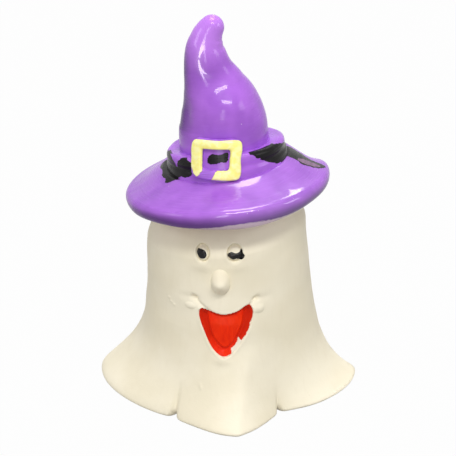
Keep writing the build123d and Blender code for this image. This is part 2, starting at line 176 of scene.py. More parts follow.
def face_inset(x, z):
    """How far the modelled face lies inside the plain body, over the front view: sockets with a raised rim,
    the mouth's recess with a raised chin, the smile's groove with its dimples, the swell of the cheeks, and a few
    crumbs of clay. Swells, dimples and crumbs are bells across times bells upwards."""
    inset = np.zeros_like(x)
    for _, middle, half in EYES:
        gap = oval_gap(x, z, middle, half)
        inset += SOCKET_DEPTH * smooth(gap, -0.25, 0.2) - SOCKET_RIM * bell(gap + 0.75, 0.45)
        inset -= BAG_SWELL * bell(x - middle[0], 2.4) * bell(z - middle[1] + BAG_DROP, 1.3)
    gap = signed_gap(x, z, mouth_edge)
    chin = smooth(-z, -29.5, -23.0)
    inset += MOUTH_DEPTH * smooth(gap, -0.03, 0.22)
    inset -= (LIP_RIM + CHIN_RIM * chin) * bell(gap + 0.3, 0.4)
    inset -= CHIN_SWELL * bell(x - CHIN[0], 2.2) * bell(z - CHIN[1], 1.2)
    side = (x - SMILE_MIDDLE) / SMILE_HALF_WIDTH
    steepness = 2.0 * SMILE_RISE * side / SMILE_HALF_WIDTH
    above = (z - SMILE_BOTTOM - SMILE_RISE * side**2) / np.sqrt(1.0 + steepness**2)
    groove = np.where(above > 0.0, bell(above, 0.45), bell(above, 0.6))
    inset += (GROOVE_DEPTH + GROOVE_GAIN * np.abs(side)) * groove * (1.0 - smooth(np.abs(side), 0.82, 1.02))
    for way in (-1.0, 1.0):
        end = SMILE_MIDDLE + way * SMILE_END * SMILE_HALF_WIDTH
        high = SMILE_BOTTOM + SMILE_END**2 * SMILE_RISE
        for depth, out, up, width, tall in SMILE_END_BELLS:
            inset += depth * bell(x - end - way * out, width) * bell(z - high - up, tall)
    for middle in CRUMBS:
        inset -= CRUMB_RISE * bell(x - middle[0], CRUMB_SIZE) * bell(z - middle[1], CRUMB_SIZE)
    return inset


def body_inset(angle, height):
    """Everything the maker's tool left on the outside: the face, the lip under the hem, nicks that run out
    upwards, a keel from the chin that ends in a sharp front corner, both falling off exponentially from the ridge,
    and the slow unevenness of cast clay as crossed sines."""
    plain = cloth_point(angle, height, 0.0)
    x, z = plain[..., 0], plain[..., 2]
    front = smooth(np.cos(np.radians(angle)), 0.35, 0.6)
    inset = front * face_inset(x, z)
    inset += HEM_LIP * np.clip(1.0 - height / HEM_LIP, 0.0, 1.0) ** 2
    inset += HEM_SHRINK * (1.0 - smooth(height, 4.0, 12.0))
    for middle, rise in NICKS:
        share = np.clip(1.0 - height / rise, 0.0, 1.0)
        away = away_from(angle, middle)
        inset += NICK_DEPTH * share**1.5 * bell(away, 0.8 + 1.3 * share) + NICK_VALLEY * share * bell(away, 4.0)
        inset += NICK_FOOT * bell(away, 1.5) * (1.0 - smooth(height, 0.4, 2.4))
    ridge = np.hypot(x - KEEL_FOOT - KEEL_LEAN * z, KEEL_ROUND) - KEEL_ROUND
    keel = np.exp(-ridge / KEEL_SPREAD) * smooth(z, 1.0, 8.0) * (1.0 - smooth(z, 13.0, 21.0))
    inset -= KEEL_RISE * front * keel
    corner = bell(away_from(angle, FRONT_CORNER_ANGLE), 18.0) * (1.0 - smooth(z, 1.0, 9.0))
    inset += CORNER_CUT * corner * (1.0 - np.exp(-ridge / CORNER_SPREAD))
    turn = np.radians(angle)
    calm = smooth(height, 3.0, 9.0)
    for size, waves, climb, start, rise, shift in UNEVEN:
        inset += calm * size * np.sin(waves * turn + climb * height + start) * np.sin(rise * height + shift)
    return inset


def placed(name, data):
    """A new object at the origin of the scene that carries a mesh, a lamp or a camera."""
    thing = bpy.data.objects.new(name, data)
    bpy.context.scene.collection.objects.link(thing)
    return thing


def skin(name, points, loop=False, fields=None):
    """A closed mesh over a grid of points in millimetres: columns close into rings, and rows close into a loop
    or end in a pole at the middle of the end ring. Faces are turned so that the enclosed volume, the sum of
    each triangle's triple product, is positive. Fields become vertex attributes."""
    rows, columns = points.shape[:2]
    number = np.arange(rows * columns).reshape(rows, columns)
    number = np.vstack([number, number[:1]]) if loop else number
    right = np.roll(number, -1, axis=1)
    quads = np.stack([number[:-1], right[:-1], right[1:], number[1:]], axis=-1).reshape(-1, 4)
    places = points.reshape(-1, 3)
    fans = np.zeros((0, 3), int)
    if not loop:
        places = np.vstack([places, points[0].mean(0), points[-1].mean(0)])
        low, high = np.full(columns, rows * columns), np.full(columns, rows * columns + 1)
        low_fan = np.stack([low, right[0], number[0]], axis=-1)
        high_fan = np.stack([high, number[-1], right[-1]], axis=-1)
        fans = np.vstack([low_fan, high_fan])
    corners = np.vstack([quads[:, [0, 1, 2]], quads[:, [0, 2, 3]], fans])
    a, b, c = (places[corners[:, k]] for k in range(3))
    if np.einsum("ij,ij->", a, np.cross(b, c)) < 0.0:
        quads, fans = quads[:, ::-1], fans[:, ::-1]
    mesh = bpy.data.meshes.new(name)
    mesh.from_pydata((places * MM).tolist(), [], quads.tolist() + fans.tolist())
    mesh.polygons.foreach_set("use_smooth", np.ones(len(mesh.polygons), bool))
    for field, values in (fields or {}).items():
        flat = values.reshape(rows * columns, -1)
        if not loop:
            ends = [values[0].reshape(columns, -1).mean(0), values[-1].reshape(columns, -1).mean(0)]
            flat = np.vstack([flat, ends])
        kind, slot = ("FLOAT", "value") if flat.shape[1] == 1 else ("FLOAT_VECTOR", "vector")
        mesh.attributes.new(field, kind, "POINT").data.foreach_set(slot, flat.astype(np.float32).ravel())
    return placed(name, mesh)


def hat_point(x, y, z):
    """Hat coordinates to the object's: turned by the tilt about Y, then moved to the seat."""
    tilt = np.radians(HAT_TILT)
    across = HAT_SHIFT + x * np.cos(tilt) - z * np.sin(tilt)
    up = SEAT_HEIGHT + np.tan(tilt) * HAT_SHIFT + x * np.sin(tilt) + z * np.cos(tilt)
    return np.stack(np.broadcast_arrays(across, y, up), axis=-1)


def between(first, last, steps):
    """Rings part of the way from one ring to another, ends left out."""
    shares = np.linspace(0.0, 1.0, steps + 2)[1:-1, None, None]
    return first + (last - first) * shares


def ghost_rows():
    """The body's loop of rings: up the outside, in over the seat, down the vent, out under the ceiling, down the
    inside and back under the hem. Columns lie closer together on the face."""
    around = np.concatenate([
        np.arange(-180.0, -50.0, 1.75), np.arange(-50.0, 44.0, 0.52), np.arange(44.0, 180.0, 1.75),
    ])
    heights = np.concatenate([
        np.linspace(0.0, HEM_LIP, 8), np.linspace(HEM_LIP, 16.0, 42)[1:],
        np.linspace(16.0, 50.5, 144)[1:], np.linspace(50.5, SEAT_HEIGHT, 22)[1:],
    ])
    angle, height = around[None, :], heights[:, None]
    outside = cloth_point(angle, height, body_inset(*np.broadcast_arrays(angle, height)))
    turn = np.radians(around)
    ring = (VENT_RADIUS * np.sin(turn), -VENT_RADIUS * np.cos(turn))
    vent_top = hat_point(*ring, 0.0)
    vent_foot = hat_point(*ring, (CEILING_HEIGHT - SEAT_HEIGHT) * np.cos(np.radians(HAT_TILT)))
    inner_heights = np.linspace(CEILING_HEIGHT, HEM_LIP, 34)[:, None]
    inside = cloth_point(angle, inner_heights, WALL)
    foot = inside[-1] * (1.0, 1.0, 0.0)
    rings = [
        outside, between(outside[-1], vent_top, 4), vent_top[None], between(vent_top, vent_foot, 3),
        vent_foot[None], between(vent_foot, inside[0], 4), inside, foot[None], between(foot, outside[0], 2),
    ]
    return np.concatenate(rings)


class Wire:
    """A socket of a node tree. Arithmetic on wires and numbers adds Math nodes; node() adds any other node."""

    def __init__(self, tree, socket):
        self.tree, self.socket = tree, socket

    def node(self, kind, settings=None, sockets=None, output=0):
        """A new node: its settings first, then its sockets' values or links; gives a wire on one output."""
        made = self.tree.nodes.new(kind)
        for key, value in (settings or {}).items():
            setattr(made, key, value)
        for key, value in (sockets or {}).items():
            if isinstance(value, Wire):
                self.tree.links.new(value.socket, made.inputs[key])
            else:
                made.inputs[key].default_value = value
        return Wire(self.tree, made.outputs[output])

    def math(self, operation, first, second):
        """A Math node on two wires or numbers."""
        return self.node("ShaderNodeMath", {"operation": operation}, {0: first, 1: second})

    def __add__(self, other):
        return self.math("ADD", self, other)

    __radd__ = __add__

    def __sub__(self, other):
        return self.math("SUBTRACT", self, other)

    def __mul__(self, other):
        return self.math("MULTIPLY", self, other)

    def ramp(self, low, high):
        """0 below low and 1 above high, eased between."""
        ends = {"Value": self, "From Min": low, "From Max": high}
        return self.node("ShaderNodeMapRange", {"interpolation_type": "SMOOTHSTEP"}, ends)

    def mix(self, first, second):
        """First colour where this wire is 0, second where it is 1."""
        return self.node("ShaderNodeMix", {"data_type": "RGBA"}, {0: self, 6: first, 7: second}, 2)

    def noise(self, size, detail):
        """Cloudy values about 0.5 on this wire's coordinates, with lumps of the given size."""
        return self.node("ShaderNodeTexNoise", {}, {"Vector": self, "Scale": 1.0 / size, "Detail": detail})

    def drawn(self, *scale):
        """This wire's coordinates scaled along each axis, so that a noise on them is drawn out."""
        return self.node("ShaderNodeMapping", {}, {"Vector": self, "Scale": scale}, "Vector")

    def field(self, name, output="Fac"):
        """A vertex attribute of the piece that wears this material."""
        return self.node("ShaderNodeAttribute", {"attribute_name": name}, {}, output)

    def relief(self, height):
        """Bump of this wire's values, as high as given in metres."""
        return self.node("ShaderNodeBump", {}, {"Height": self, "Distance": height})


def colour(red, green, blue):
    """Screen colour, 0 to 255, to the linear colour that a shader takes."""
    share = np.array([red, green, blue]) / 255.0
    linear = np.where(share > 0.04045, ((share + 0.055) / 1.055) ** 2.4, share / 12.92)
    return (*linear.tolist(), 1.0)


def finish(name, **constants):
    """A new material with a Principled shader; gives the material, the shader and a wire on Object coordinates."""
    material = bpy.data.materials.new(name)
    material.use_nodes = True
    tree = material.node_tree
    shader = tree.nodes["Principled BSDF"]
    for key, value in constants.items():
        shader.inputs[key.replace("_", " ")].default_value = value
    place = Wire(tree, tree.nodes.new("ShaderNodeTexCoord").outputs["Object"])
    return material, shader, place


def wear(shader, **wires):
    """Links wires to the shader's sockets."""
    for key, wire in wires.items():
        wire.tree.links.new(wire.socket, shader.inputs[key.replace("_", " ")])


def white_bisque():
    """Sealed white clay: warm and cool clouds, faint upright sponge marks, kiln specks, a fine pitted skin."""
    material, shader, place = finish("white_bisque", Specular_IOR_Level=0.35)
    clouds = place.noise(0.016, 3.0)
    body = clouds.ramp(0.35, 0.7).mix(colour(240, 231, 206), colour(247, 239, 217))
    strokes = place.drawn(1.0, 1.0, 0.16).noise(0.0011, 2.0)
    body = (strokes.ramp(0.5, 0.75) * 0.1).mix(body, colour(228, 217, 192))
    specks = place.noise(0.0008, 1.0).ramp(0.77, 0.8) * place.noise(0.009, 1.0).ramp(0.55, 0.65)
    body = (specks * 0.25).mix(body, colour(176, 156, 128))
    bump = (place.noise(0.0004, 3.0) * 0.2 + strokes * 0.12 + place.noise(0.005, 2.0) * 0.8).relief(0.00010)
    wear(shader, Base_Color=body, Roughness=0.44 + clouds * 0.16 + strokes * 0.08, Normal=bump)
    return material


def dress(piece, slot, material, *nodes):
    """Gives a piece its material and puts it in the place of its CAD nodes."""
    piece.data.materials.append(material)
    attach(piece, "root")
    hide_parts(*nodes)


bisque = white_bisque()
dress(skin("draped_shell", ghost_rows(), loop=True), "white_bisque", bisque, "ghost_body")

# Eyes: small oval pellets of the same clay set in the sockets, each with a dab of black enamel for a pupil.
# The dabs were put on quickly: one is round, the other ran sideways over the rim.
EYE_GAP, EYE_SINK, EYE_EDGE, EYE_DOME = 0.12, 0.95, 0.42, 0.55
PAINT_FILM, PAINT_BODY, PAINT_SINK = 0.03, 0.15, 0.15
INVERSE_STEPS = 12
LEFT_PUPIL = (
    (-7.6, 46.8), (-6.8, 47.0), (-5.8, 46.7), (-5.35, 45.8),
    (-5.75, 44.95), (-6.6, 44.7), (-7.5, 44.95), (-8.0, 45.8),
)
RIGHT_PUPIL = (
    (-0.1, 45.9), (0.7, 46.8), (1.9, 46.5), (2.7, 46.7), (3.25, 47.2), (3.6, 47.1), (3.8, 46.4),
    (4.2, 45.7), (3.8, 44.9), (2.9, 44.7), (2.2, 45.1), (1.2, 44.85), (0.3, 45.25),
)


def on_face(x, z, lift):
    """Point of the body's front at a place of the front view, lifted outwards: the angle and height that give
    the place are found by repeating the inverse of the lean and of the polar map."""
    height, angle = z + 0.0 * x, 0.0 * x
    for _ in range(INVERSE_STEPS):
        lean = smooth(height, WAIST_HEIGHT, SHOULDER_HEIGHT)
        side = (x - lean * HEAD_DRIFT) / cloth_radius(angle, height)
        angle = np.degrees(np.arcsin(np.clip(side, -0.99, 0.99)))
        height = z - lean * np.tan(np.radians(HAT_TILT)) * x
    return cloth_point(angle, height, -lift)


def pressed(name, outline, middle, front, back, rings=28, fields=None):
    """A closed pad on the face: rings shrink from the outline to the middle, in front at the height front(x, z)
    and behind at back(x, z)."""
    shares = np.sin(np.linspace(0.03, 0.5 * np.pi, rings))[:, None, None]
    flat = np.asarray(middle) + shares * (outline[None] - np.asarray(middle))
    x, z = flat[..., 0], flat[..., 1]
    sheet = on_face(x, z, front(x, z))
    behind = on_face(x, z, back(x, z))[::-1]
    x, z = np.concatenate([x, x[::-1]]), np.concatenate([z, z[::-1]])
    values = {key: field(x, z) for key, field in (fields or {}).items()}
    return skin(name, np.concatenate([sheet, behind]), fields=values)


def at_depth(depth):
    """A flat back for a pad: the same depth under the plain face everywhere."""
    return lambda x, z: np.full_like(x, -depth)


def fuller(wave, power):
    """A sine or cosine to a power, with its sign kept."""
    return np.sign(wave) * np.abs(wave) ** power


def oval(middle, half, count=72, power=1.0):
    """Points round an oval: sine and cosine to a power, which makes it fuller than an ellipse when below one."""
    turn = np.linspace(0.0, 2.0 * np.pi, count, endpoint=False)
    across, up = fuller(np.sin(turn), power), fuller(np.cos(turn), power)
    return np.stack([middle[0] + half[0] * across, middle[1] + half[1] * up], axis=-1)


def black_enamel():
    """Black hobby enamel: glossy, a little brown where thin, with fine brush lines and pin holes."""
    material, shader, place = finish("black_enamel", Specular_IOR_Level=0.15, Coat_Weight=0.2, Coat_Roughness=0.08)
    thin = place.noise(0.0012, 3.0)
    lines = place.drawn(0.25, 0.25, 1.0).noise(0.0005, 2.0)
    ink = thin.ramp(0.55, 0.8).mix(colour(10, 8, 8), colour(36, 28, 26))
    bump = (lines * 0.6 + place.noise(0.0016, 1.0)).relief(0.00025)
    wear(shader, Base_Color=ink, Roughness=0.16 + thin * 0.2, Normal=bump)
    return material


enamel = black_enamel()
for (side, middle, half), dab in zip(EYES, (LEFT_PUPIL, RIGHT_PUPIL)):
    edge = (half[0] - EYE_GAP, half[1] - EYE_GAP)
    dab_edge = closed_curve(dab, 96)

    def pellet_top(x, z):
        """Front of the eye pellet: a low dome that falls away at its edge."""
        gap = np.clip(oval_gap(x, z, middle, edge), -1.0, None)
        return -EYE_EDGE + EYE_DOME * smooth(gap, 0.0, 0.55) + 0.09 * gap

    def carrier(x, z):
        """What the dab lies on: whichever is higher, pellet or face."""
        return np.maximum(pellet_top(x, z), -face_inset(x, z))

    def paint_top(x, z):
        """Front of the dab: a thin coat, rounded at its edge."""
        return carrier(x, z) + PAINT_FILM + PAINT_BODY * smooth(signed_gap(x, z, dab_edge), 0.0, 0.45)

    def paint_foot(x, z):
        """Back of the dab, sunk a little into what carries it."""
        return carrier(x, z) - PAINT_SINK

    eye = pressed("eye_" + side, oval(middle, edge), middle, pellet_top, at_depth(EYE_SINK))
    dress(eye, "white_bisque", bisque, side + "_eye")
    pupil = pressed("pupil_" + side, dab_edge, dab_edge.mean(0), paint_top, paint_foot, 14)
    dress(pupil, "black_paint", enamel, side + "_pupil")

# Nose and cheeks: pellets of soft clay pressed on the face and smoothed into it before firing.
# The nose runs out of the brow and ends in a round overhang; the cheeks are low buttons under the smile's ends.
NOSE, NOSE_HALF, NOSE_FULL, NOSE_RISE = (-1.9, 38.5), (2.5, 3.6), 0.95, 3.3
NOSE_TURN, NOSE_TURN_SIDES, NOSE_EDGE, NOSE_SINK = 0.04, 0.4, 0.12, 0.5
CHEEKS = (("left", (-9.7, 31.0), (1.9, 1.3)), ("right", (7.9, 30.5), (1.8, 1.6)))
CHEEK_RISE, CHEEK_EDGE, CHEEK_SINK = 0.42, 0.06, 0.9


def nose_top(x, z):
    """Height of the nose: across, a half circle within the oval that softens to a bump at the brow; upwards, an
    eased ramp from the brow out to the turn, which lies higher at the sides, and below it a nearly straight
    slope back to the face."""
    up = (z - NOSE[1]) / NOSE_HALF[1]
    width = NOSE_HALF[0] * np.clip(1.0 - np.abs(up) ** (2.0 / NOSE_FULL), 1e-6, 1.0) ** (0.5 * NOSE_FULL)
    arch = np.clip(1.0 - ((x - NOSE[0]) / width) ** 2, 0.0, 1.0) ** (0.5 + 0.9 * smooth(up, -0.3, 0.9))
    turn = NOSE_TURN + NOSE_TURN_SIDES * np.clip((x - NOSE[0]) / NOSE_HALF[0], -1.0, 1.0) ** 2
    ramp = np.sin(0.5 * np.pi * np.clip((1.0 - up) / (1.0 - turn), 0.0, 1.0)) ** 1.3
    under = 1.0 - np.clip((turn - up) / (1.0 + turn), 0.0, 1.0) ** 1.45
    return NOSE_RISE * arch * np.where(up > turn, ramp, under) - NOSE_EDGE


nose_edge = oval(NOSE, NOSE_HALF, 96, NOSE_FULL)
nose = pressed("nose_pellet", nose_edge, NOSE, nose_top, at_depth(NOSE_SINK), 40)
dress(nose, "white_bisque", bisque, "nose")
for side, middle, half in CHEEKS:

    def cheek_top(x, z):
        """Height of a cheek over the face: an upturned bowl to the power 1.5, so that its edge runs out flat."""
        share = np.hypot((x - middle[0]) / half[0], (z - middle[1]) / half[1])
        return -face_inset(x, z) - CHEEK_EDGE + CHEEK_RISE * np.clip(1.0 - share**2, 0.0, 1.0) ** 1.5

    cheek = pressed("cheek_" + side, oval(middle, half), middle, cheek_top, at_depth(CHEEK_SINK))
    dress(cheek, "white_bisque", bisque, side + "_cheek")

# Mouth: a lining laid in the recess and a tongue on it, both brushed with bright red enamel.
# The brush missed the lining's lower right edge, where the white clay shows.
LINING_GAP, LINING_REACH, LINING_EDGE, LINING_FALL = 0.06, 6.0, 0.22, 1.0
TONGUE_FOOT, TONGUE_RISE, TONGUE_FALL, TONGUE_SINK = 1.35, 0.85, 0.5, 1.6
TONGUE_OUTLINE = (
    (-5.8, 29.7), (-3.6, 29.4), (-1.3, 29.05), (1.7, 29.6), (4.5, 30.9), (4.2, 27.4),
    (3.1, 24.3), (1.2, 21.0), (-0.9, 19.8), (-3.2, 21.4), (-4.8, 24.4),
)
RED_OUTLINE = (
    (-7.6, 30.7), (-4.6, 30.7), (-1.3, 30.3), (2.2, 31.0), (5.3, 32.3), (6.6, 30.0), (5.7, 26.2), (4.4, 23.2),
    (3.4, 22.3), (2.7, 22.5), (2.0, 20.9), (0.9, 19.9), (0.6, 18.6), (-1.6, 17.8), (-4.4, 20.1), (-6.3, 24.3),
    (-7.7, 28.2),
)
red_edge = closed_curve(RED_OUTLINE, 119)
tongue_edge = closed_curve(TONGUE_OUTLINE, 132)


def lining_top(x, z):
    """Height of the lining: near the face at the sides and chin, sinking to its floor, and deep under the lip."""
    gap = signed_gap(x, z, mouth_edge)
    lip = smooth(z, 26.5, 29.0) * (1.0 - smooth(np.abs(x + 0.8), 4.2, 6.6))
    return -LINING_EDGE - LINING_FALL * np.maximum(smooth(gap, 0.0, 1.5), lip)


def tongue_top(x, z):
    """Height of the tongue: a flat pad with a rounded edge, sloping in under the lip."""
    gap = signed_gap(x, z, tongue_edge)
    pad = -TONGUE_FOOT + TONGUE_RISE * smooth(gap, -0.1, 0.65) + 0.04 * gap
    return pad - TONGUE_FALL * smooth(z, 26.0, 29.5)


def red_paint(x, z):
    """Distance inside the red brushwork."""
    return signed_gap(x, z, red_edge)


def painted_lining_shade(x, z):
    """Painted shade where the lining sinks in under the lip: all but the chin, eased upwards."""
    return smooth(z, 19.5, 24.0)


def red_enamel():
    """Bright red enamel: slightly darker in the strokes, with painted shade on the lining under the lip, and a
    ragged edge to the white clay.
    """
    material, shader, place = finish("red_enamel", Specular_IOR_Level=0.12)
    ragged = place.field("red_paint") + (place.noise(0.0008, 2.0) - 0.5) * 0.9
    covered = ragged.ramp(-0.12, 0.1)
    strokes = place.drawn(1.0, 1.0, 0.2).noise(0.0007, 2.0)
    red = strokes.ramp(0.3, 0.75).mix(colour(240, 46, 4), colour(226, 36, 2))
    red = (place.noise(0.004, 1.0).ramp(0.45, 0.7) * 0.6).mix(red, colour(234, 54, 12))
    # Painted shade: the lining is darkened towards the lip, where its recess lies in shade.
    red = (place.field("shade") * 0.7).mix(red, colour(196, 30, 2))
    bump = (strokes * 0.6 + covered * 0.5 + place.noise(0.0005, 2.0) * 0.3).relief(0.00012)
    wear(shader, Base_Color=covered.mix(colour(240, 232, 214), red), Roughness=0.3 + strokes * 0.15, Normal=bump)
    return material


enamel_red = red_enamel()
lining_edge = closed_curve(MOUTH_OUTLINE, 169)
lining_middle = lining_edge.mean(0)
lining_edge = lining_middle + (lining_edge - lining_middle) * (1.0 - LINING_GAP / LINING_REACH)
lining = pressed(
    "mouth_inlay", lining_edge, lining_middle, lining_top, at_depth(MOUTH_DEPTH), 60,
    {"red_paint": red_paint, "shade": painted_lining_shade},
)
dress(lining, "red_glaze", enamel_red, "mouth_lining")
tongue = pressed(
    "tongue_pad", tongue_edge, tongue_edge.mean(0), tongue_top, at_depth(TONGUE_SINK), 40,
    {"red_paint": red_paint},
)
dress(tongue, "red_glaze", enamel_red, "tongue")

# Hat brim: a thick round plate of clay with a rolled edge, pinched up to a land in the middle, seated on the head.
# It is brushed with purple enamel; the black of the band was smeared over it on both sides, and a pale bead of
# clay shows under its front edge.
BRIM_RADIUS, BRIM_EDGE, BRIM_DROOP, BRIM_DISH, BRIM_BORE = 26.9, 3.8, 0.8, 0.9, 7.0
BRIM_WAVES, BRIM_WANDER = ((1.0, 0.47, 0.40), (2.0, 0.32, -0.68)), (0.35, -0.5)
BRIM_SAGS = ((4.5, 130.0, 33.0), (2.2, 150.0, 15.0))
BRIM_LIP, BRIM_BEAD, BEAD_MIDDLE, BEAD_SPREAD = 0.7, 1.1, 8.0, 30.0
SEAT_ROWS, UNDER_ROWS, EDGE_ROWS, EDGE_END = 10, 40, 40, 76.0
NO_PAINT, UPPER_SIDE = -3.0, 1.6
LAND_RADIUS, LAND_HEIGHT, SEAT_FLAT = 16.6, 6.8, 14.0
STROKE_ROUND, STROKE_ACROSS = 5.0, 2.2
LEFT_SMEAR = (
    (-11.0, -9.2), (-13.6, -10.2), (-15.6, -9.6), (-15.9, -7.6), (-16.8, -5.2),
    (-16.7, -2.4), (-17.5, 0.4), (-16.6, 3.6), (-13.0, 4.0),
)
RIGHT_SMEAR = (
    (14.6, -3.4), (17.6, -4.0), (19.5, -5.3), (22.2, -5.0), (24.4, -4.1), (25.3, -2.7),
    (24.4, -0.6), (21.6, 0.6), (19.4, 2.4), (16.5, 3.4), (14.0, 1.0),
)
BARE_PATCH = ((18.4, -4.0), (20.4, -4.6), (22.6, -4.2), (24.3, -3.0), (22.8, -1.6), (20.4, -1.6), (18.6, -2.6))


def arc(middle, radius, start, end, count):
    """Points on an arc between two angles in degrees, as radius and height."""
    turn = np.radians(np.linspace(start, end, count))
    return np.stack([middle[0] + radius * np.cos(turn), middle[1] + radius * np.sin(turn)], axis=-1)


def run(start, end, count, sag=0.0):
    """Points from start to end on a shallow parabola that sags by the given height; the end is left out."""
    share = np.linspace(0.0, 1.0, count, endpoint=False)[:, None]
    line = np.asarray(start) + share * (np.asarray(end) - np.asarray(start))
    return line - np.array([0.0, 4.0 * sag]) * share * (1.0 - share)


def stroke_field(radius, height, angle):
    """Coordinates for brush marks that run round the hat: slow round the axis, quick across the strokes."""
    turn = np.radians(angle)
    across = STROKE_ACROSS * (radius - 0.8 * height)
    return np.stack(np.broadcast_arrays(STROKE_ROUND * np.sin(turn), STROKE_ROUND * np.cos(turn), across), axis=-1)


def brim_piece():
    """The brim: a closed profile turned about the axis, its edge wandering as two slow waves, with bells that sag
    at the back, a lower lip in front and a bead under it as a bell. Facing is the angle at which the rolled edge
    looks up or down."""
    around = np.linspace(-180.0, 180.0, 300, endpoint=False)
    half = 0.5 * BRIM_EDGE
    edge_middle = (BRIM_RADIUS - half, half - BRIM_DROOP)
    profile = np.concatenate([
        run((BRIM_BORE, 0.0), (SEAT_FLAT, 0.0), SEAT_ROWS),
        run((SEAT_FLAT, 0.0), (BRIM_RADIUS - half, -BRIM_DROOP), UNDER_ROWS - SEAT_ROWS, -BRIM_DISH),
        arc(edge_middle, half, -90.0, EDGE_END, EDGE_ROWS),
        run((BRIM_RADIUS - half + 0.43, edge_middle[1] + 0.97 * half), (LAND_RADIUS, LAND_HEIGHT), 60, 0.25)[1:],
        run((LAND_RADIUS, LAND_HEIGHT), (BRIM_BORE, LAND_HEIGHT), 16),
        run((BRIM_BORE, LAND_HEIGHT), (BRIM_BORE, 0.0), 8),
    ])
    facing = np.full((len(profile), 1), 90.0)
    facing[:UNDER_ROWS] = -90.0
    facing[UNDER_ROWS:UNDER_ROWS + EDGE_ROWS, 0] = np.linspace(-90.0, EDGE_END, EDGE_ROWS)
    radius, height = (np.repeat(values[:, None], len(around), axis=1) for values in profile.T)
    turn = np.radians(around)[None, :]
    sweep = around[None, :]
    # How far up the rolled edge the painted shade reaches: highest at the front left.
    lift = 18.0 * bell(away_from(sweep, -48.0), 40.0)
    front = smooth(np.cos(turn), -0.2, 0.5)
    outer = smooth(radius, LAND_RADIUS, BRIM_RADIUS - half)
    warp = 0.07 * np.sin(7.0 * turn + 2.0)
    for waves, ahead, aside in BRIM_WAVES:
        warp = warp + ahead * np.cos(waves * turn) + aside * np.sin(waves * turn)
    for depth, middle, spread in BRIM_SAGS:
        warp = warp - depth * bell(away_from(sweep, middle), spread)
    height += outer * warp
    bead = bell(away_from(sweep, BEAD_MIDDLE), BEAD_SPREAD)
    height -= outer * (BRIM_LIP * front + BRIM_BEAD * bead) * (1.0 - smooth(facing, -60.0, 30.0))
    wander = BRIM_WANDER[0] * np.cos(turn) + BRIM_WANDER[1] * np.sin(turn)
    radius += outer * (wander + 0.05 * np.sin(11.0 * turn))
    x, y = radius * np.sin(turn), -radius * np.cos(turn)
    upper = np.where(height > UPPER_SIDE, 0.0, NO_PAINT)
    left_smear = signed_gap(x, y, closed_curve(LEFT_SMEAR, 72))
    right_smear = signed_gap(x, y, closed_curve(RIGHT_SMEAR, 88))
    # Painted shade for the brim: darker where the rolled edge faces down, slightly darker all over and more on the
    # left side.
    painted_left_shade = 0.1 + 0.12 * bell(away_from(sweep, -90.0), 50.0)
    fields = {
        "black": np.maximum(left_smear, right_smear) + upper,
        "bare": signed_gap(x, y, closed_curve(BARE_PATCH, 56)) + upper,
        "clay": (40.0 * bead - 60.0 - facing) / 34.0,
        "painted_hat_shade": np.maximum(1.0 - smooth(facing - lift, -35.0, 25.0), painted_left_shade),
        "wet": np.broadcast_to(0.5 * bell(away_from(sweep, 28.0), 34.0), x.shape),
        "stroke": stroke_field(radius, height, sweep),
    }
    return skin("brim_plate", hat_point(x, y, height), loop=True, fields=fields)


def purple_enamel():
    """Purple hobby enamel in brush strokes with a cloudy tone: painted light makes the crown lighter towards its
    tip and painted shade darkens the brim's rolled edge underneath and the crown's left side, under a clear coat
    that is thickest where wet, with black smears, a scraped patch, a few missed pin spots and pale clay showing
    through."""
    material, shader, place = finish("purple_enamel", Specular_IOR_Level=0.12, Coat_Roughness=0.07, Coat_IOR=2.0)
    stroke = place.field("stroke", "Vector")
    fine, broad = stroke.noise(2.4, 2.0), stroke.noise(6.0, 1.0)
    pools = place.noise(0.007, 2.0)
    purple = pools.ramp(0.3, 0.7).mix(colour(156, 92, 201), colour(173, 106, 217))
    patches = place.noise(0.009, 1.0).ramp(0.48, 0.62)
    purple = (fine.ramp(0.5, 0.75) * patches * 0.05).mix(purple, colour(190, 122, 236))
    purple = (broad.ramp(0.5, 0.7) * 0.1).mix(purple, colour(148, 84, 196))
    thin, painted_hat_shade, wet = (place.field(name) for name in ("thin", "painted_hat_shade", "wet"))
    # Painted light: lighter towards the crown's tip, where the light falls.
    purple = (thin * 0.6).mix(purple, colour(206, 138, 246))
    # Painted shade: darker on the brim's rolled edge underneath and on the crown's left side.
    purple = (painted_hat_shade * 0.85).mix(purple, colour(74, 36, 108))
    missed = place.noise(0.0009, 1.0).ramp(0.775, 0.79) * broad.ramp(0.5, 0.6)
    purple = (missed * 0.6).mix(purple, colour(222, 196, 232))
    ragged = (fine - 0.5) * 0.8 + (place.noise(0.0012, 2.0) - 0.5) * 0.7
    black = (place.field("black") + ragged).ramp(-0.06, 0.1)
    bare = (place.field("bare") + ragged).ramp(-0.05, 0.25)
    painted = black.mix(purple, colour(13, 11, 12))
    painted = (bare * (0.45 + fine * 0.6)).mix(painted, colour(150, 118, 150))
    painted = (place.field("clay") + ragged * 0.5).ramp(-0.1, 0.2).mix(painted, colour(200, 176, 194))
    bump = (fine * (patches * 0.1 + black * 0.5) + broad * 0.12 + black * 0.35 + pools * 1.6).relief(0.00022)
    gloss = 0.2 + fine * 0.14 + bare * 0.2
    coat = 0.12 + thin * 0.08 + wet * 0.8 - black * 0.08 - painted_hat_shade * 0.09
    wear(shader, Base_Color=painted, Roughness=gloss, Coat_Weight=coat, Normal=bump)
    return material


purple = purple_enamel()
dress(brim_piece(), "purple_glaze", purple, "hat_brim")

